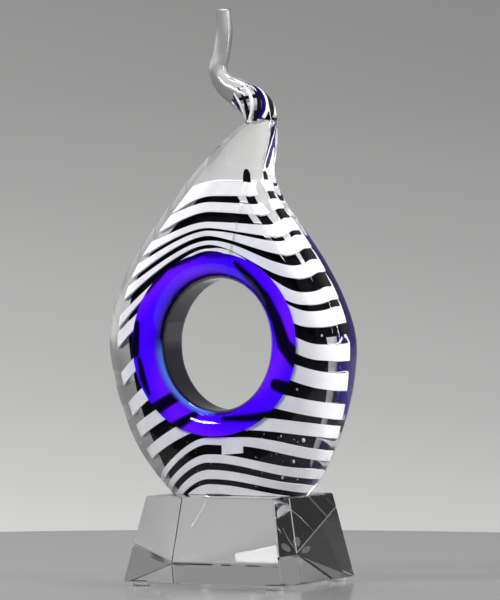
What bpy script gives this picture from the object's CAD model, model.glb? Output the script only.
# %% [markdown]
# # A banded art-glass award, cell by cell
#
# The award is a leaning teardrop of clear glass with an oval hole through it. White and black bands
# run inside the clear glass, transparent cobalt lines the hole, and a tail is pulled up from the
# neck. It is bonded to a cut crystal block on four small feet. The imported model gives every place.

# %% Open the frame
import math
import bmesh
import bpy
import numpy as np
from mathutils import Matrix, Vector


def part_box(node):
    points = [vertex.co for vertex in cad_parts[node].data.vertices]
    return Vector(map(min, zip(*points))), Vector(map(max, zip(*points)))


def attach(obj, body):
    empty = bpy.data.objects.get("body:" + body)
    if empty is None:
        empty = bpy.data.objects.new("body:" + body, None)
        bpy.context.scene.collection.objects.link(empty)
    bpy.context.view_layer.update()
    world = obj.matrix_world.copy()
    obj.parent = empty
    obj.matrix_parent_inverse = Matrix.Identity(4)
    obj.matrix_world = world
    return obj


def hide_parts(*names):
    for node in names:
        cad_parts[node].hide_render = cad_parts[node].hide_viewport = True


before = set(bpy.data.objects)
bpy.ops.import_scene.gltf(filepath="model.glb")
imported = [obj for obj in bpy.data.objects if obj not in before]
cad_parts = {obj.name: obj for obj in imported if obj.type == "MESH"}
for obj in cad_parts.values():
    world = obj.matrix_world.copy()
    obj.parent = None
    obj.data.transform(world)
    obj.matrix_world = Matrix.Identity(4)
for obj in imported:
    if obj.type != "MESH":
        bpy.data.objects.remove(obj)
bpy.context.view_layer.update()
MM = 0.001

# %% [markdown]
# ## Camera
#
# A long lens, level with the middle of the award and turned to its right, keeps the verticals
# upright. The camera comes first because every later choice is judged through it.

# %% Set the camera
VIEW_TURN = math.radians(25.73)
VIEW_DISTANCE = 2.34
to_the_right = Vector((math.cos(VIEW_TURN), math.sin(VIEW_TURN), 0))
to_the_camera = Vector((math.sin(VIEW_TURN), -math.cos(VIEW_TURN), 0))
block_x = (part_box("base_block")[0][0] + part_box("base_block")[1][0]) / 2
aim = Vector((block_x, 0, 0.1655)) + to_the_right * 0.0058
camera = bpy.data.objects.new("camera", bpy.data.cameras.new("camera"))
bpy.context.collection.objects.link(camera)
camera.data.lens = 240
camera.data.sensor_width = 36
camera.data.clip_end = 20
camera.location = aim + to_the_camera * VIEW_DISTANCE
camera.rotation_euler = to_the_camera.to_track_quat("Z", "Y").to_euler()
bpy.context.scene.camera = camera
print("camera at", tuple(round(c, 3) for c in camera.location))

# %% [markdown]
# ## The teardrop as a formula
#
# Hot glass has no flat faces or straight edges, so the body is written as a formula: at every height
# it has a half width, a sideways lean and a half thickness, and its level section is a superellipse.
# A smooth curve through a few heights gives the values in between. Every coloured layer is the same
# formula moved inwards, as each gather of glass follows the one before it.

# %% Body sizes, in millimetres above the ground face
block_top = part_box("base_block")[1][2] / MM
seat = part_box("clear_casing")[0][2] / MM
neck_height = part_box("clear_casing")[1][2] / MM - seat
heights = np.array([-10, 0, 10, 26, 48, 70, 91, 113, 134, 154, 173, 188, 200, 210, neck_height,
                    neck_height + 6])
half_widths = np.array([33, 41.5, 50.5, 61, 70.5, 76.3, 77.8, 72.3, 61.8, 47.8, 33.3, 24.2, 19.2, 14.8,
                        8.8, 8.2])
leans = np.array([1.2, 0.3, -0.5, -2.5, -3.6, -4.6, -5.5, -6.8, -7.7, -7.7, -7.1, -3.8, 3.0, 8.7, 14.4,
                  16.0])
thicknesses = np.array([18.4, 19, 19.6, 20.4, 21, 21.3, 21.4, 21, 20, 18, 15.5, 13, 11.2, 9.8, 8.8, 8.2])
SQUARENESS = 3.0
RIDGE = np.array([3, 3, 3, 3, 3.5, 4.5, 6, 7.5, 9, 10, 10, 9, 7, 4.5, 2, 2])
SHOULDER = 188.0


def smooth(at, values):
    """A smooth curve through the values given at the body's heights."""
    slopes = np.gradient(values, heights)
    k = np.clip(np.searchsorted(heights, at) - 1, 0, len(heights) - 2)
    gap = heights[k + 1] - heights[k]
    t = np.clip((at - heights[k]) / gap, 0, 1)
    start = (1 + 2 * t) * (1 - t) ** 2 * values[k] + t * (1 - t) ** 2 * gap * slopes[k]
    return start + t * t * (3 - 2 * t) * values[k + 1] + t * t * (t - 1) * gap * slopes[k + 1]


print("widest:", 2 * smooth(np.array([88.0]), half_widths)[0], "mm, neck at", round(neck_height, 1))

# %% [markdown]
# ## Distance to a layer
#
# Each layer is described by how deep it lies. The function below says, for any point, about how far
# it is outside the layer. The oval hole is cut in the same way, and the two distances are joined with
# a rounded corner, so the rim of the hole rolls over as softly as glass that was opened while hot.

# %% Layer distance
ring_low, ring_high = (np.array(corner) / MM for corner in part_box("cobalt_ring"))
HOLE_X = (ring_low[0] + ring_high[0]) / 2 - block_x / MM
HOLE_HEIGHT = (ring_low[2] + ring_high[2]) / 2 - seat
LINING_RADIUS = (ring_high[0] - ring_low[0]) / 2
HOLE_HALF = (35.0, 38.5)
RIM_ROUND = 12.0
LOWEST = -6.0


def teardrop(points, face=0.0, widths=half_widths, middles=leans):
    """About how far points lie outside a body of these half widths, its faces moved inwards."""
    x, y, z = points[..., 0], points[..., 1], points[..., 2]
    sideways = x - smooth(z, middles)
    across = np.abs(sideways) / np.maximum(smooth(z, widths), 0.5)
    deep = np.abs(y) / np.maximum(smooth(z, thicknesses) - face, 0.5)
    turn = np.clip((z - SHOULDER) / (neck_height - SHOULDER), 0, 1)
    power = SQUARENESS - (SQUARENESS - 2) * turn
    corner = np.where((sideways > 0) & (y < 0), 2 * across * deep / (across ** 2 + deep ** 2 + 1e-9), 0)
    power = power + np.maximum(smooth(z, RIDGE) - power, 0) * corner ** 2
    size = np.maximum((across ** power + deep ** power) ** (1 / power), 1e-6)
    slope_x = (across / size) ** (power - 1) / np.maximum(smooth(z, widths), 0.5)
    slope_y = (deep / size) ** (power - 1) / np.maximum(smooth(z, thicknesses) - face, 0.5)
    return (size - 1) / np.hypot(slope_x, slope_y)


def into_hole(points, margin=0.0):
    """About how far points lie inside the oval hole, made larger by margin."""
    half_x, half_z = HOLE_HALF[0] + margin, HOLE_HALF[1] + margin
    x = (points[..., 0] - HOLE_X) / half_x
    z = (points[..., 2] - HOLE_HEIGHT) / half_z
    size = np.maximum(np.hypot(x, z), 1e-6)
    return (1 - size) * size / np.hypot(x / half_x, z / half_z)


def rounded(a, b, radius):
    """Join two distances with a rounded corner."""
    inside = np.minimum(np.maximum(a, b) + radius, 0)
    return np.hypot(np.maximum(a + radius, 0), np.maximum(b + radius, 0)) + inside - radius


# %% [markdown]
# ## Spinning a layer into a mesh
#
# A pierced shape is a ring, so its mesh is a clean grid: stations run once round the hole, and at
# each station a loop of points runs from the hole's wall over the front, round the outside and home
# over the back. Every point is pushed out from the middle until it reaches the layer.

# %% Layer mesh
OUTLINE_STEP = 1.0


def outline(top, widths, middles):
    """Points along the layer's outer edge, clockwise from the lower left, evenly spaced."""
    z = np.linspace(LOWEST, top, 400)
    middle = smooth(z, middles)
    reach = np.maximum(smooth(z, widths), 0.5)
    path = np.concatenate([np.stack([middle - reach, z], 1), np.stack([middle + reach, z], 1)[::-1]])
    path = np.vstack([path, path[:1]])
    along = np.concatenate([[0], np.cumsum(np.hypot(*np.diff(path, axis=0).T))])
    count = int(along[-1] / OUTLINE_STEP)
    at = np.linspace(0, along[-1], count, endpoint=False)
    return np.stack([np.interp(at, along, path[:, k]) for k in (0, 1)], 1)


def layer_points(face, margin, rim, top, widths=half_widths, middles=leans, loop=96, cap_round=0.0):
    """Grid of points on one layer: stations round the hole by points round each loop."""
    outer = outline(top, widths, middles)
    hub = np.array([HOLE_X, HOLE_HEIGHT])
    ray = (outer - hub) / np.hypot(*(outer - hub).T)[:, None]
    half_x, half_z = HOLE_HALF[0] + margin, HOLE_HALF[1] + margin
    inner = hub + ray / np.hypot(ray[:, 0] / half_x, ray[:, 1] / half_z)[:, None]
    middle = (outer + inner) / 2
    deep = np.maximum(smooth(middle[:, 1], thicknesses) - face, 2)
    turn = np.arange(loop) * 2 * math.pi / loop
    aim_x = (outer - inner)[:, None, 0] / 2 * np.cos(turn)
    aim_z = (outer - inner)[:, None, 1] / 2 * np.cos(turn)
    aim_y = -deep[:, None] * np.sin(turn)
    start = np.stack([middle[:, 0], np.zeros(len(middle)), middle[:, 1]], 1)[:, None, :]
    aim = np.stack([aim_x, aim_y, aim_z], -1)

    def outside(points):
        solid = rounded(teardrop(points, face, widths, middles), into_hole(points, margin), rim)
        cap = points[..., 2] - top
        solid = rounded(solid, cap, cap_round) if cap_round else np.maximum(solid, cap)
        return np.maximum(solid, LOWEST - points[..., 2])

    low, high = np.zeros(aim.shape[:2]), np.full(aim.shape[:2], 1.7)
    for _ in range(26):
        half = (low + high) / 2
        out = outside(start + aim * half[..., None]) > 0
        low, high = np.where(out, low, half), np.where(out, half, high)
    return start + aim * low[..., None]


def ring_faces(stations, loop):
    """Quads of a grid that closes on itself both ways."""
    s, k = np.meshgrid(np.arange(stations), np.arange(loop), indexing="ij")
    a, b = (s + 1) % stations, (k + 1) % loop
    return np.stack([s * loop + k, s * loop + b, a * loop + b, a * loop + k], -1).reshape(-1, 4)


def to_room(points):
    """Millimetres from the middle of the ground face to metres in the room."""
    return (points.reshape(-1, 3) + np.array([block_x / MM, 0, seat])) * MM


def new_piece(name, points, faces):
    """A mesh object from points in metres."""
    mesh = bpy.data.meshes.new(name)
    mesh.from_pydata([tuple(p) for p in points], [], [tuple(f) for f in faces])
    mesh.validate()
    mesh.update()
    piece = bpy.data.objects.new(name, mesh)
    bpy.context.collection.objects.link(piece)
    mesh.shade_smooth()
    return piece


def cut_flat(piece, height, keep_above, axis="Z"):
    """Cut a piece on a plane and close it with a flat face, as a grinding wheel does."""
    along = {"Y": (0, 1, 0), "Z": (0, 0, 1)}[axis]
    mesh = bmesh.new()
    mesh.from_mesh(piece.data)
    place = Vector(along) * height
    everything = list(mesh.verts) + list(mesh.edges) + list(mesh.faces)
    cut = bmesh.ops.bisect_plane(mesh, geom=everything, plane_co=place, plane_no=along, dist=1e-7,
                                 clear_inner=keep_above, clear_outer=not keep_above)
    edges = [e for e in cut["geom_cut"] if isinstance(e, bmesh.types.BMEdge)]
    loops = bmesh.ops.triangle_fill(mesh, edges=edges, use_beauty=True)
    for face in loops["geom"]:
        if isinstance(face, bmesh.types.BMFace):
            face.smooth = False
    for edge in edges:
        if edge.is_valid:
            edge.smooth = False
    bmesh.ops.recalc_face_normals(mesh, faces=mesh.faces)
    mesh.to_mesh(piece.data)
    mesh.free()


# %% [markdown]
# ## Clear casing
#
# The clear glass is one closed skin with nothing hollow inside, so light enters once, meets the
# colour, and leaves once. Its foot is ground flat. It dips a hair below the block's top face: glass
# joined with clear adhesive has no air between, and the dip gives light the same straight way through.

# %% Blow the clear casing
BONDING_DIP = 0.1
points = layer_points(0, 0, RIM_ROUND, neck_height + 5, loop=144)
casing = new_piece("clear_casing_skin", to_room(points), ring_faces(*points.shape[:2]))
cut_flat(casing, (block_top - BONDING_DIP) * MM, keep_above=True)
cut_flat(casing, (seat + neck_height) * MM, keep_above=False)
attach(casing, "root")
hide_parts("clear_casing", "inner_gather")
print("casing faces:", len(casing.data.polygons))

# %% [markdown]
# ## White bands
#
# The bands are trails of opaque white glass, wound on while the teardrop was small. They sway down to
# the left of a crest and step down to the right. Each one is cut from the layer under the casing
# along its two wavy edges and thickened inwards, so its ends wrap round the sides as the real ones do.

# %% Band shapes
# crest height, thickness at the crest and at the sides, slope to the left, fall to the right, and
# where across the front that fall is centred
WHITE_BANDS = (
    (178.3, 8.5, 7.0, 0.80, 1.5, 10.0),
    (167.7, 5.6, 6.0, 0.60, 2.8, 8.0),
    (157.3, 3.5, 7.0, 0.54, 4.3, 8.0),
    (152.3, 2.9, 7.2, 0.65, 9.5, 12.0),
    (146.7, 2.3, 6.9, 0.74, 17.4, 16.0),
    (142.6, 1.4, 7.0, 0.95, 28.4, 20.0),
    (130.3, 6.0, 9.0, 0.90, 28.0, 24.0),
    (107.4, 8.0, 9.0, 0.95, 24.0, 30.0),
    (80.9, 10.0, 10.0, 0.84, 14.0, 36.0),
    (57.9, 9.0, 9.0, 0.65, 8.0, 38.0),
    (41.9, 8.0, 7.5, 0.70, 4.0, 42.0),
    (31.3, 4.0, 6.5, 1.10, 8.0, 38.0),
    (21.2, 4.7, 5.2, 1.10, 7.6, 20.0),
    (11.9, 5.3, 4.4, 1.20, 7.0, 20.0),
    (3.4, 5.5, 4.0, 1.20, 6.0, 20.0),
)
CREST_X, CREST_ROUND, CREST_RUN, LEFT_RUN, FALL_RUN = -12.0, 20.0, 45.0, 65.0, 58.0
CASING_FACE, CASING_HOLE = 5.0, 4.3
BED_TOP = 194.0
CASING_LEFT = np.array([6, 6.5, 7.5, 8.5, 8.5, 8.5, 8.5, 8.5, 8.5, 9, 9, 9, 9, 7, 4, 4])
CASING_RIGHT = np.array([4, 4, 4, 4, 9, 12, 13, 13, 13, 13, 13, 10, 8, 6, 4, 4])
BED_WIDTHS = half_widths - (CASING_LEFT + CASING_RIGHT) / 2
BED_LEANS = leans + (CASING_LEFT - CASING_RIGHT) / 2
BAND_DEPTH = 1.6
NEAR_BAND = 12.0
GROUND_GAP = 0.2


def band_edges(x, band):
    """Heights of a band's upper and lower edge at x."""
    crest, crest_thickness, side_thickness, left_slope, right_fall, fall_x = band
    left = np.maximum(CREST_X - x, 0)
    step = np.clip((x - fall_x) / FALL_RUN + 0.5, 0, 1)
    drop = left_slope * (np.hypot(left, CREST_ROUND) - CREST_ROUND)
    middle = crest - drop - right_fall * step * step * (3 - 2 * step)
    to_right = np.minimum((x - CREST_X) / CREST_RUN, 1)
    spread = np.where(x > CREST_X, to_right, np.minimum(left / LEFT_RUN, 1) ** 2)
    half = (crest_thickness + (side_thickness - crest_thickness) * spread) / 2
    return middle + half, middle - half


def keep_where(points, faces, value):
    """Keep the part of a mesh where value(points) is positive, cut cleanly along its edge."""
    height = value(points)
    inside = height > 0
    grown, kept, cuts = list(points), [], {}
    for face in faces:
        held = [inside[v] for v in face]
        if all(held):
            kept.append(list(face))
        elif any(held):
            corners = []
            for a, b in zip(face, list(face[1:]) + [face[0]]):
                if inside[a]:
                    corners.append(a)
                if inside[a] != inside[b]:
                    key = (min(a, b), max(a, b))
                    if key not in cuts:
                        share = height[a] / (height[a] - height[b])
                        cuts[key] = len(grown)
                        grown.append(points[a] + (points[b] - points[a]) * share)
                    corners.append(cuts[key])
            kept.append(corners)
    used = sorted({v for face in kept for v in face})
    place = {v: k for k, v in enumerate(used)}
    return np.array([grown[v] for v in used]), [[place[v] for v in face] for face in kept]


def thicken(piece, depth):
    """Thicken an open sheet inwards and mark its corners sharp."""
    solid = piece.modifiers.new("thickness", "SOLIDIFY")
    solid.thickness = depth * MM
    solid.offset = -1
    solid.use_even_offset = False
    shaped = bpy.data.meshes.new_from_object(piece.evaluated_get(bpy.context.evaluated_depsgraph_get()))
    piece.modifiers.clear()
    piece.data = shaped
    piece.data.set_sharp_from_angle(angle=math.radians(40))


# %% Cut the white bands
bed = layer_points(CASING_FACE, CASING_HOLE, RIM_ROUND - CASING_HOLE, BED_TOP, BED_WIDTHS, BED_LEANS,
                   loop=180, cap_round=5.0)
bed_faces = ring_faces(*bed.shape[:2])
bed = bed.reshape(-1, 3)
white_bands = []
for number, shape in enumerate(WHITE_BANDS, start=1):
    upper, lower = band_edges(bed[:, 0], shape)
    near = np.abs(bed[:, 2] - (upper + lower) / 2) < NEAR_BAND
    faces = bed_faces[near[bed_faces].all(1)]
    cut, faces = keep_where(bed, faces.tolist(), lambda p: band_edges(p[:, 0], shape)[0] - p[:, 2])
    cut, faces = keep_where(cut, faces, lambda p: p[:, 2] - band_edges(p[:, 0], shape)[1])
    cut, faces = keep_where(cut, faces, lambda p: p[:, 2] - GROUND_GAP)
    name = f"white_band_{number:02d}"
    band = new_piece(name + "_trail", to_room(cut), faces)
    thicken(band, BAND_DEPTH)
    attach(band, "root")
    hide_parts(name)
    white_bands.append(band)
print("bands:", len(white_bands), "faces:", sum(len(b.data.polygons) for b in white_bands))

# %% [markdown]
# ## A bridge and seed bubbles
#
# Low on the front two trails touch, which leaves a short white bridge between them, and small
# bubbles are caught between the trails and the core. The bridge is cut from the same bed as the
# trails. The bubbles are drawn as pale solid specks, because at this size they only show as dots. The
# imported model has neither, so both only ride on it.

# %% Add the bridge and the bubbles
PATCH_FROM, PATCH_TO, PATCH_TALL = -3.5, 10.0, 5.6
patch, faces = keep_where(bed, bed_faces[(bed[bed_faces][..., 1] < 0).all(1)].tolist(),
                          lambda p: np.minimum(p[:, 0] - PATCH_FROM, PATCH_TO - p[:, 0]))
patch, faces = keep_where(patch, faces, lambda p: band_edges(p[:, 0], WHITE_BANDS[11])[1] + 0.4 - p[:, 2])
patch, faces = keep_where(patch, faces, lambda p: p[:, 2] + PATCH_TALL
                          - 0.12 * (p[:, 0] - PATCH_FROM) - band_edges(p[:, 0], WHITE_BANDS[11])[1])
bridge = new_piece("white_trail_bridge", to_room(patch), faces)
thicken(bridge, BAND_DEPTH)
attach(bridge, "root")
SEED_DEPTH = 7.6
LARGE_SEEDS = ((40.7, 20.4, 0.8), (47.2, 32.7, 1.0), (33.5, 11.0, 0.7), (33.5, 35.0, 0.5),
               (44.0, 62.0, 0.6), (59.5, 93.0, 0.6))
SMALL_SEEDS = 90
chance = np.random.default_rng(7)
small = np.stack([chance.uniform(low, high, SMALL_SEEDS)
                  for low, high in ((-38, 50), (4, 48), (0.14, 0.3))], 1)
seed_mesh = bmesh.new()
for x, z, radius in list(LARGE_SEEDS) + small.tolist():
    y = SEED_DEPTH - float(smooth(np.array([z]), thicknesses)[0])
    spot = Vector(to_room(np.array([[x, y, z]]))[0])
    ball = bmesh.ops.create_icosphere(seed_mesh, subdivisions=2, radius=radius * MM)
    for vertex in ball["verts"]:
        vertex.co = vertex.co * Vector((1, 1, 1.3)) + spot
seed_data = bpy.data.meshes.new("seed_bubbles")
seed_mesh.to_mesh(seed_data)
seed_mesh.free()
seeds = bpy.data.objects.new("seed_bubbles", seed_data)
bpy.context.collection.objects.link(seeds)
seed_data.shade_smooth()
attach(seeds, "root")
print("bubbles:", len(LARGE_SEEDS) + len(small))

# %% [markdown]
# ## Dark core
#
# Behind the bands lies the dark heart of the piece: opaque black towards the front and dense cobalt
# behind it. One layer mesh is spun and cut down its middle plane, once for each half.

# %% Black core and cobalt back
CORE_WIDTHS = np.array([28, 32.5, 39.5, 46.5, 55, 60, 61.8, 56.5, 45, 27, 12, 5, 4, 4, 4, 4])
CORE_LEANS = leans - np.array([0, 0, 0, 0, 0, 0, 0.5, 3, 5, 5, 4, 4, 0, 0, 0, 0])
CORE_FACE, CORE_HOLE, CORE_TOP, CORE_SPLIT = 9.5, 9.0, 176.0, 2.0
core = layer_points(CORE_FACE, CORE_HOLE, RIM_ROUND - CORE_HOLE, CORE_TOP, CORE_WIDTHS, CORE_LEANS,
                    cap_round=5.0)
halves = {}
for name, node, slot, front in (("black_core_glass", "black_core", "black_glass", True),
                                ("cobalt_back_glass", "cobalt_back", "deep_cobalt_glass", False)):
    half = new_piece(name, to_room(core), ring_faces(*core.shape[:2]))
    cut_flat(half, (seat + GROUND_GAP) * MM, keep_above=True)
    cut_flat(half, CORE_SPLIT * MM, keep_above=not front, axis="Y")
    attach(half, "root")
    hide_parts(node)
    halves[node] = half
print("core halves:", [len(h.data.polygons) for h in halves.values()])

# %% [markdown]
# ## Black wrap on the right side
#
# Seen past the ridge, the gaps between the trails are dark out to the side. A thin black layer just
# under the trails gives that. It is one more layer of the same formula, kept on the right, and the
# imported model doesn't have it.

# %% Lay the black wrap
WRAP_DEEPER, WRAP_THICKNESS, WRAP_EDGE = 1.9, 0.6, 2.2
WRAP_FOOT, WRAP_TOP = 92.0, 190.0
wrap = layer_points(CASING_FACE + WRAP_DEEPER, CASING_HOLE + WRAP_DEEPER, RIM_ROUND - CASING_HOLE, WRAP_TOP,
                    BED_WIDTHS - WRAP_DEEPER, BED_LEANS, loop=180, cap_round=5.0)
wrap_faces = ring_faces(*wrap.shape[:2])
wrap = wrap.reshape(-1, 3)
wrap, wrap_faces = keep_where(wrap, wrap_faces.tolist(), lambda p: p[:, 0] - smooth(p[:, 2], BED_LEANS)
                              - smooth(p[:, 2], BED_WIDTHS - WRAP_DEEPER) + WRAP_EDGE)
wrap, wrap_faces = keep_where(wrap, wrap_faces, lambda p: p[:, 2] - WRAP_FOOT)
side_wrap = new_piece("black_side_wrap", to_room(wrap), wrap_faces)
thicken(side_wrap, WRAP_THICKNESS)
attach(side_wrap, "root")
print("side wrap faces:", len(side_wrap.data.polygons))

# %% [markdown]
# ## Cobalt lining
#
# The hole is lined with transparent cobalt that laps over the bands as a flat-edged ring. It is the
# same layer again, a little nearer the surface, kept inside a circle and thickened inwards.

# %% Line the hole
LINING_LIFT, LINING_THICKNESS = 1.8, 1.7
LINING_RIM = RIM_ROUND - 2.5
lining = layer_points(CASING_FACE - LINING_LIFT, CASING_HOLE - LINING_LIFT, LINING_RIM, BED_TOP,
                      BED_WIDTHS + LINING_LIFT, BED_LEANS, loop=180, cap_round=5.0)
lining_faces = ring_faces(*lining.shape[:2])
lining, lining_faces = keep_where(
    lining.reshape(-1, 3), lining_faces.tolist(),
    lambda p: LINING_RADIUS - np.hypot(p[:, 0] - HOLE_X, p[:, 2] - HOLE_HEIGHT))
ring = new_piece("cobalt_ring_lining", to_room(lining), lining_faces)
thicken(ring, LINING_THICKNESS)
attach(ring, "root")
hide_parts("cobalt_ring")
print("lining faces:", len(ring.data.polygons))

# %% [markdown]
# ## Colour of the lining
#
# Real cobalt glass is clear enough to show the dark gaps under it as stripes. Here the lining is
# opaque and the stripes are painted on it, one colour for each point, which is steadier than tracing
# light through another thin layer. Each streak is a line of points across and up from the hole's
# centre, with its half width at each point.

# %% Paint what shows through the lining
DARK_STREAKS = (
    ((14.5, 47.5, 1.5), (25.5, 37.5, 2.6), (34.5, 27.0, 3.2), (41.5, 14.5, 3.4), (46.5, 0.0, 4.4),
     (54.0, -8.5, 5.2)),
    ((41.0, -23.0, 3.6), (55.0, -27.5, 4.8)),
    ((6.0, -44.0, 1.2), (25.0, -42.3, 2.4), (40.0, -40.2, 2.8), (50.0, -39.0, 3.2)),
    ((-13.0, -42.0, 2.4), (-28.0, -50.0, 3.6), (-38.0, -56.0, 3.6)),
    ((-25.0, -30.5, 3.6), (-46.0, -43.0, 4.4)),
    ((-50.0, 12.0, 2.0), (-51.5, -5.0, 3.2)),
    ((-48.5, -9.0, 1.6), (-46.0, -20.0, 2.4), (-42.0, -29.0, 1.2)),
    ((-44.0, 30.0, 1.0), (-30.0, 44.5, 1.6), (-8.0, 52.5, 1.4), (14.0, 52.0, 1.0)),
)
BRIGHT_BLUE, DEEP_BLUE, VIOLET = (0.055, 0.0, 1.0), (0.012, 0.0, 0.16), (0.20, 0.012, 1.0)
SKY_BLUE, NEAR_BLACK = (0.12, 0.26, 1.0), (0.004, 0.002, 0.012)
# each pair is where a colour starts and where it is complete: depths in millimetres, then angles
WALL_STARTS, ARC_ENDS, BACK_STARTS = (-14.5, -11.5), (-11.0, -10.0), (-6.0, 0.0)
ARC_FROM, ARC_TO = (-3.2, -2.9), (-1.75, -1.45)
WALL_RADIUS, HOLE_TALLER = 44, 1.1


def blend(low, high, share):
    """Mix two colours, one share for each point."""
    return np.asarray(low) * (1 - share[:, None]) + np.asarray(high) * share[:, None]


def soft_step(low, high, value):
    """0 below low, 1 above high, and smooth between."""
    t = np.clip((value - low) / (high - low), 0, 1)
    return t * t * (3 - 2 * t)


def streak_cover(across, up, streak, soft=1.0):
    """How far each point is covered by a streak: 1 inside, 0 outside, soft at the edge."""
    cover = np.zeros(len(across))
    for (x0, z0, w0), (x1, z1, w1) in zip(streak, streak[1:]):
        ahead = (across - x0) * (x1 - x0) + (up - z0) * (z1 - z0)
        t = np.clip(ahead / ((x1 - x0) ** 2 + (z1 - z0) ** 2), 0, 1)
        away = np.hypot(across - x0 - t * (x1 - x0), up - z0 - t * (z1 - z0)) - (w0 + t * (w1 - w0))
        cover = np.maximum(cover, 1 - soft_step(-soft, soft, away))
    return cover


def paint(piece, colours):
    """Store one colour for each point of a piece, for its material to read."""
    tint = piece.data.color_attributes.new("tint", "FLOAT_COLOR", "POINT")
    with_alpha = np.hstack([colours, np.ones((len(colours), 1))])
    tint.data.foreach_set("color", with_alpha.astype(np.float32).ravel())


def corners_of(piece):
    """A piece's points in millimetres from the middle of the ground face."""
    flat = np.empty(len(piece.data.vertices) * 3)
    piece.data.vertices.foreach_get("co", flat)
    return flat.reshape(-1, 3) / MM - np.array([block_x / MM, 0, seat])


places = corners_of(ring)
across, up, deep = places[:, 0] - HOLE_X, places[:, 2] - HOLE_HEIGHT, places[:, 1]
clock = np.arctan2(across, up)
swirl = (0.5 + 0.5 * np.sin(3 * clock + np.hypot(across, up) / 5)) ** 2
colours = blend(BRIGHT_BLUE, VIOLET, 0.55 * swirl)
for streak in DARK_STREAKS:
    colours = colours * (1 - 0.985 * streak_cover(across, up, streak))[:, None]
wall = soft_step(*WALL_STARTS, deep) * (np.hypot(across, up / HOLE_TALLER) < WALL_RADIUS)
colours = colours * (1 - wall)[:, None] + np.asarray(NEAR_BLACK) * wall[:, None]
lower_left = soft_step(*ARC_FROM, clock) * (1 - soft_step(*ARC_TO, clock))
arc = wall * (1 - soft_step(*ARC_ENDS, deep)) * lower_left
colours = colours * (1 - arc)[:, None] + np.asarray(SKY_BLUE) * arc[:, None]
behind = soft_step(*BACK_STARTS, deep) * (1 - wall)
colours = colours * (1 - behind)[:, None] + np.asarray(DEEP_BLUE) * behind[:, None]
paint(ring, colours)

# %% [markdown]
# ## Pulled tail
#
# The tail is pulled from the neck, bent over and let hang back upright before it sets. It is a rod
# whose thickness changes along a smooth line, closed by a flat, softened tip.

# %% Pull the tail
NECK_X = float(smooth(np.array([neck_height]), leans)[0])
TAIL_LINE = np.array([  # across and up from the neck's centre, and the radius there
    (0.4, -2.0, 8.5), (0.0, 0.0, 8.7), (-2.2, 5.7, 9.5), (-7.4, 11.2, 9.4), (-15.0, 15.9, 8.5),
    (-23.0, 20.5, 7.0), (-27.8, 26.0, 5.9), (-28.7, 32.0, 5.4), (-26.8, 38.4, 5.1), (-25.2, 47.0, 5.0),
    (-24.8, 54.0, 4.8), (-25.4, 65.2, 4.2),
])


def through(values, steps):
    """A smooth path through rows of values, with the given steps between each two."""
    ahead = np.gradient(values, axis=0)
    path = []
    for k in range(len(values) - 1):
        for t in np.arange(steps) / steps:
            path.append((1 + 2 * t) * (1 - t) ** 2 * values[k] + t * (1 - t) ** 2 * ahead[k]
                        + t * t * (3 - 2 * t) * values[k + 1] + t * t * (t - 1) * ahead[k + 1])
    path.append(values[-1])
    return np.array(path)


def drawn_rod(centres, radii, sides=48):
    """Points and faces of a round rod along a path in millimetres, with a radius at each point."""
    ahead = np.gradient(centres, axis=0)
    ahead /= np.linalg.norm(ahead, axis=1)[:, None]
    across = np.cross(np.array([0, 1.0, 0]), ahead)
    across /= np.linalg.norm(across, axis=1)[:, None]
    over = np.cross(ahead, across)
    turn = np.arange(sides) * 2 * math.pi / sides
    rings = (centres[:, None] + radii[:, None, None] * (np.cos(turn)[None, :, None] * across[:, None]
             + np.sin(turn)[None, :, None] * over[:, None]))
    points = np.vstack([rings.reshape(-1, 3), centres[:1], centres[-1:]])
    rows = len(centres)
    faces = [(r * sides + k, r * sides + (k + 1) % sides, (r + 1) * sides + (k + 1) % sides,
              (r + 1) * sides + k) for r in range(rows - 1) for k in range(sides)]
    faces += [(rows * sides, (k + 1) % sides, k) for k in range(sides)]
    faces += [(rows * sides + 1, (rows - 1) * sides + k, (rows - 1) * sides + (k + 1) % sides)
              for k in range(sides)]
    return points, faces


def joined(name, shapes):
    """One piece from several lists of points and faces."""
    points, faces = [], []
    for more, corners in shapes:
        start = sum(len(p) for p in points)
        points.append(more)
        faces += [tuple(v + start for v in face) for face in corners]
    return new_piece(name, to_room(np.vstack(points)), faces)


def tail_centres(rows):
    """Centres in millimetres of the given rows of the tail's line."""
    return np.stack([NECK_X + rows[:, 0], np.zeros(len(rows)), neck_height + rows[:, 1]], 1)


tail_rows = through(TAIL_LINE, 12)
tip = tail_rows[-1]
dome = np.radians(np.arange(6, 91, 6))
tip_rows = np.stack([np.full(len(dome), tip[0]), tip[1] + 0.05 * tip[2] * np.sin(dome),
                     tip[2] * np.cos(dome) ** 0.6 + 1e-3], 1)
tail_rows = np.vstack([tail_rows, tip_rows])
tail = joined("tail_pull", [drawn_rod(tail_centres(tail_rows), tail_rows[:, 2])])
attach(tail, "root")
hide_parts("tail_glass")

# %% [markdown]
# ## Colour in the tail
#
# Pulling the tail drags some of the colour with it, and the twist of the pull winds it up. Thin rods
# that follow the tail's line and turn round it give the swirl.

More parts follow.
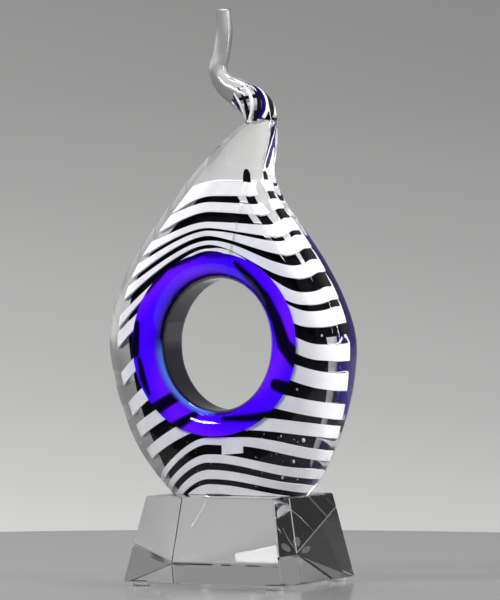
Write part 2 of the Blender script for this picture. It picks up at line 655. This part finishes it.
# %% Colour drawn into the tail
SWIRL_ROWS = through(TAIL_LINE[1:5], 14)
SWIRL_TURN = 2.6
SWIRL_OFFSET, SWIRL_INWARDS = 0.62, 0.12
THREAD_RADIUS, THREAD_THINNING = 1.25, 0.95
SWIRLS = (("white", "white_glass", (0.4, 2.0, 3.6, 5.2)), ("black", "black_glass", (1.2, 2.8, 4.4, 6.0)),
          ("cobalt", "deep_cobalt_glass", (1.7, 4.9)))
strands = {}
share = np.linspace(0, 1, len(SWIRL_ROWS))
ahead = np.gradient(tail_centres(SWIRL_ROWS), axis=0)
side = np.stack([ahead[:, 2], np.zeros(len(ahead)), -ahead[:, 0]], 1)
side /= np.linalg.norm(side, axis=1)[:, None]
for name, slot, starts in SWIRLS:
    threads = []
    for start in starts:
        angle = start + SWIRL_TURN * share
        offset = SWIRL_ROWS[:, 2] * (SWIRL_OFFSET - SWIRL_INWARDS * share)
        centres = tail_centres(SWIRL_ROWS) + side * (offset * np.cos(angle))[:, None]
        centres[:, 1] += offset * np.sin(angle)
        radii = THREAD_RADIUS - THREAD_THINNING * share ** 2
        threads.append(drawn_rod(centres, radii, sides=16))
    piece = joined(f"tail_{name}_thread", threads)
    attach(piece, "root")
    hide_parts(f"tail_{name}_strand")
    strands[name] = piece
print("tail rows:", len(tail_rows))

# %% [markdown]
# ## Glass materials
#
# Clear glass bends light and shows faint cords in its surface. For shadow rays it lets light straight
# through, so that the colour inside is lit as it would be by light that real glass focuses. The
# block lets only part of them through, so that it throws a soft shadow on the table. Colour
# inside the clear glass is not polished on its own: it touches glass all round, so it has no gloss.

# %% Materials
def node_material(name):
    """A new node material and its tree."""
    material = bpy.data.materials.new(name)
    material.use_nodes = True
    material.node_tree.nodes.clear()
    return material, material.node_tree


def add_node(tree, kind, **settings):
    """A node with its settings and unlinked input values."""
    node = tree.nodes.new(kind)
    for key, value in settings.items():
        if key in node.inputs:
            node.inputs[key].default_value = value
        else:
            setattr(node, key, value)
    return node


def clear_glass_material(name, tint, ior, cord_scale, cord_depth, shade=1.0):
    """Polished clear glass with faint cords, letting a share of the shadow rays through."""
    material, tree = node_material(name)
    link = tree.links.new
    out = add_node(tree, "ShaderNodeOutputMaterial")
    glass = add_node(tree, "ShaderNodeBsdfPrincipled")
    glass.inputs["Base Color"].default_value = tint
    glass.inputs["Roughness"].default_value = 0.0
    glass.inputs["IOR"].default_value = ior
    glass.inputs["Transmission Weight"].default_value = 1.0
    place = add_node(tree, "ShaderNodeTexCoord")
    cords = add_node(tree, "ShaderNodeTexNoise")
    cords.inputs["Scale"].default_value = cord_scale
    cords.inputs["Detail"].default_value = 1.0
    bump = add_node(tree, "ShaderNodeBump")
    bump.inputs["Distance"].default_value = cord_depth
    link(place.outputs["Object"], cords.inputs["Vector"])
    link(cords.outputs["Fac"], bump.inputs["Height"])
    link(bump.outputs["Normal"], glass.inputs["Normal"])
    through_light = add_node(tree, "ShaderNodeBsdfTransparent")
    through_light.inputs["Color"].default_value = (shade, shade, shade, 1)
    path = add_node(tree, "ShaderNodeLightPath")
    mix = add_node(tree, "ShaderNodeMixShader")
    link(path.outputs["Is Shadow Ray"], mix.inputs[0])
    link(glass.outputs[0], mix.inputs[1])
    link(through_light.outputs[0], mix.inputs[2])
    link(mix.outputs[0], out.inputs["Surface"])
    return material


def inner_colour_material(name, low, high, scale, glow=0.0, painted=False):
    """Coloured glass held inside clear glass: mottled or painted colour and no gloss of its own."""
    material, tree = node_material(name)
    link = tree.links.new
    out = add_node(tree, "ShaderNodeOutputMaterial")
    body = add_node(tree, "ShaderNodeBsdfPrincipled")
    body.inputs["Roughness"].default_value = 0.6
    body.inputs["IOR"].default_value = 1.0
    body.inputs["Specular IOR Level"].default_value = 0.0
    place = add_node(tree, "ShaderNodeTexCoord")
    mottle = add_node(tree, "ShaderNodeTexNoise")
    mottle.inputs["Scale"].default_value = scale
    mottle.inputs["Detail"].default_value = 3.0
    ramp = add_node(tree, "ShaderNodeValToRGB")
    ramp.color_ramp.elements[0].position = 0.35
    ramp.color_ramp.elements[0].color = low
    ramp.color_ramp.elements[1].position = 0.65
    ramp.color_ramp.elements[1].color = high
    link(place.outputs["Object"], mottle.inputs["Vector"])
    link(mottle.outputs["Fac"], ramp.inputs["Fac"])
    colour = ramp.outputs["Color"]
    if painted:
        tint = add_node(tree, "ShaderNodeVertexColor", layer_name="tint")
        mix = add_node(tree, "ShaderNodeMix", data_type="RGBA", blend_type="MULTIPLY")
        mix.inputs[0].default_value = 1.0
        link(tint.outputs["Color"], mix.inputs[6])
        link(colour, mix.inputs[7])
        colour = mix.outputs[2]
    link(colour, body.inputs["Base Color"])
    if glow:
        link(colour, body.inputs["Emission Color"])
        body.inputs["Emission Strength"].default_value = glow
    link(body.outputs[0], out.inputs["Surface"])
    return material


clear = clear_glass_material("clear casing glass", (0.985, 0.99, 0.985, 1), 1.5, 30.0, 0.00004)
crystal = clear_glass_material("optical crystal", (0.985, 0.99, 0.99, 1), 1.52, 8.0, 0.000004, 0.4)
white = inner_colour_material("white trail glass", (0.86, 0.86, 0.89, 1), (0.93, 0.93, 0.95, 1), 90)
black = inner_colour_material("black core glass", (0.004, 0.004, 0.005, 1), (0.009, 0.008, 0.012, 1), 120)
deep_cobalt = inner_colour_material("deep cobalt glass", (0.006, 0.003, 0.09, 1),
                                    (0.012, 0.004, 0.16, 1), 60)
cobalt = inner_colour_material("cobalt lining glass", (0.85, 0.85, 0.85, 1), (1, 1, 1, 1), 45, 0.35, True)
for piece in (casing, tail):
    piece.data.materials.append(clear)
for piece in white_bands + [strands["white"], bridge]:
    piece.data.materials.append(white)
halves["black_core"].data.materials.append(black)
side_wrap.data.materials.append(black)
bubble_skin = inner_colour_material("bubble skin", (0.45, 0.45, 0.45, 1), (0.7, 0.7, 0.7, 1), 300)
seeds.data.materials.append(bubble_skin)
strands["black"].data.materials.append(black)
halves["cobalt_back"].data.materials.append(deep_cobalt)
strands["cobalt"].data.materials.append(deep_cobalt)
ring.data.materials.append(cobalt)


def dress(node, material):
    """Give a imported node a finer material."""
    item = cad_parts[node]
    item.data.materials.clear()
    item.data.materials.append(material)


dress("base_block", crystal)
dress("bond_film", clear)
foot_rubber = inner_colour_material("clear bumper rubber", (0.62, 0.63, 0.62, 1),
                                    (0.72, 0.73, 0.72, 1), 200)
dress("bumper_feet", foot_rubber)

# %% [markdown]
# ## Table, backdrop and light
#
# A pale table, a plain backdrop that is lighter near the table, and large soft lights are enough:
# polished glass is mostly a picture of what stands round it.

# %% Stage and lights
TABLE_REACH = 0.54
table_mesh = bmesh.new()
bmesh.ops.create_circle(table_mesh, cap_ends=True, segments=96, radius=TABLE_REACH)
table_data = bpy.data.meshes.new("table")
table_mesh.to_mesh(table_data)
table_mesh.free()
table = bpy.data.objects.new("table", table_data)
bpy.context.collection.objects.link(table)
table_material, tree = node_material("pale table")
out = add_node(tree, "ShaderNodeOutputMaterial")
top = add_node(tree, "ShaderNodeBsdfPrincipled")
top.inputs["Base Color"].default_value = (0.42, 0.42, 0.42, 1)
top.inputs["Roughness"].default_value = 0.12
top.inputs["Specular IOR Level"].default_value = 0.3
tree.links.new(top.outputs[0], out.inputs["Surface"])
table.data.materials.append(table_material)

world = bpy.data.worlds.new("studio")
bpy.context.scene.world = world
world.use_nodes = True
tree = world.node_tree
tree.nodes.clear()
out = add_node(tree, "ShaderNodeOutputWorld")
sky = add_node(tree, "ShaderNodeBackground")
place = add_node(tree, "ShaderNodeTexCoord")
split = add_node(tree, "ShaderNodeSeparateXYZ")
tree.links.new(place.outputs["Generated"], split.inputs[0])
height = add_node(tree, "ShaderNodeMapRange")
height.inputs["From Min"].default_value = -0.06
height.inputs["From Max"].default_value = 0.08
tree.links.new(split.outputs["Z"], height.inputs["Value"])
paper = add_node(tree, "ShaderNodeValToRGB")
PAPER_TONES = ((0.0, 0.64), (0.11, 0.565), (0.25, 0.485), (0.43, 0.425), (0.61, 0.365), (0.79, 0.305),
               (1.0, 0.27))
for k, (position, tone) in enumerate(PAPER_TONES):
    stop = paper.color_ramp.elements[k] if k < 2 else paper.color_ramp.elements.new(position)
    stop.position = position
    stop.color = (tone, tone, tone * 0.99, 1)
tree.links.new(height.outputs["Result"], paper.inputs["Fac"])


def facing_part(direction, low, high, from_tone, to_tone):
    """A tone that changes with how far a ray points along a direction."""
    along = add_node(tree, "ShaderNodeVectorMath", operation="DOT_PRODUCT")
    along.inputs[1].default_value = tuple(direction)
    ease = add_node(tree, "ShaderNodeMapRange", interpolation_type="SMOOTHSTEP")
    settings = {"From Min": low, "From Max": high, "To Min": from_tone, "To Max": to_tone}
    for socket, value in settings.items():
        ease.inputs[socket].default_value = value
    tree.links.new(place.outputs["Generated"], along.inputs[0])
    tree.links.new(along.outputs["Value"], ease.inputs["Value"])
    return ease.outputs["Result"]


strength = add_node(tree, "ShaderNodeMath", operation="MULTIPLY")
tree.links.new(facing_part(-to_the_camera, 0.25, 0.95, 0.06, 1.0), strength.inputs[0])
tree.links.new(facing_part(to_the_right, -0.25, 0.25, 1.16, 0.84), strength.inputs[1])
tree.links.new(paper.outputs["Color"], sky.inputs["Color"])
side_glow = add_node(tree, "ShaderNodeMath", operation="ADD")
tree.links.new(strength.outputs[0], side_glow.inputs[0])
tree.links.new(facing_part(to_the_right, 0.45, 0.9, 0.0, 0.6), side_glow.inputs[1])
tree.links.new(side_glow.outputs[0], sky.inputs["Strength"])
tree.links.new(sky.outputs[0], out.inputs["Surface"])


def soft_light(name, at, size, power):
    """A large rectangular light that faces the award."""
    lamp = bpy.data.objects.new(name, bpy.data.lights.new(name, "AREA"))
    bpy.context.collection.objects.link(lamp)
    lamp.data.shape = "RECTANGLE"
    lamp.data.size, lamp.data.size_y = size
    lamp.data.energy = power
    lamp.location = at
    facing = Vector((0, 0, 0.17)) - Vector(at)
    lamp.rotation_euler = (-facing).to_track_quat("Z", "Y").to_euler()
    return lamp


def from_camera(right, back, up):
    """A place given as the camera sees it: to the right, behind the award, and up."""
    return tuple(to_the_right * right - to_the_camera * back + Vector((0, 0, up)))


soft_light("left softbox", from_camera(-1.1, -0.8, 1.25), (0.55, 0.4), 16)
soft_light("right strip", from_camera(1.2, -0.4, 0.5), (0.25, 1.0), 9)
soft_light("top light", from_camera(0.0, 0.3, 1.5), (0.9, 0.6), 17)
bpy.context.scene.view_settings.view_transform = "Standard"
bpy.context.scene.cycles.max_bounces = 24
bpy.context.scene.cycles.transmission_bounces = 20
bpy.context.scene.cycles.transparent_max_bounces = 24
bpy.context.scene.cycles.use_denoising = True
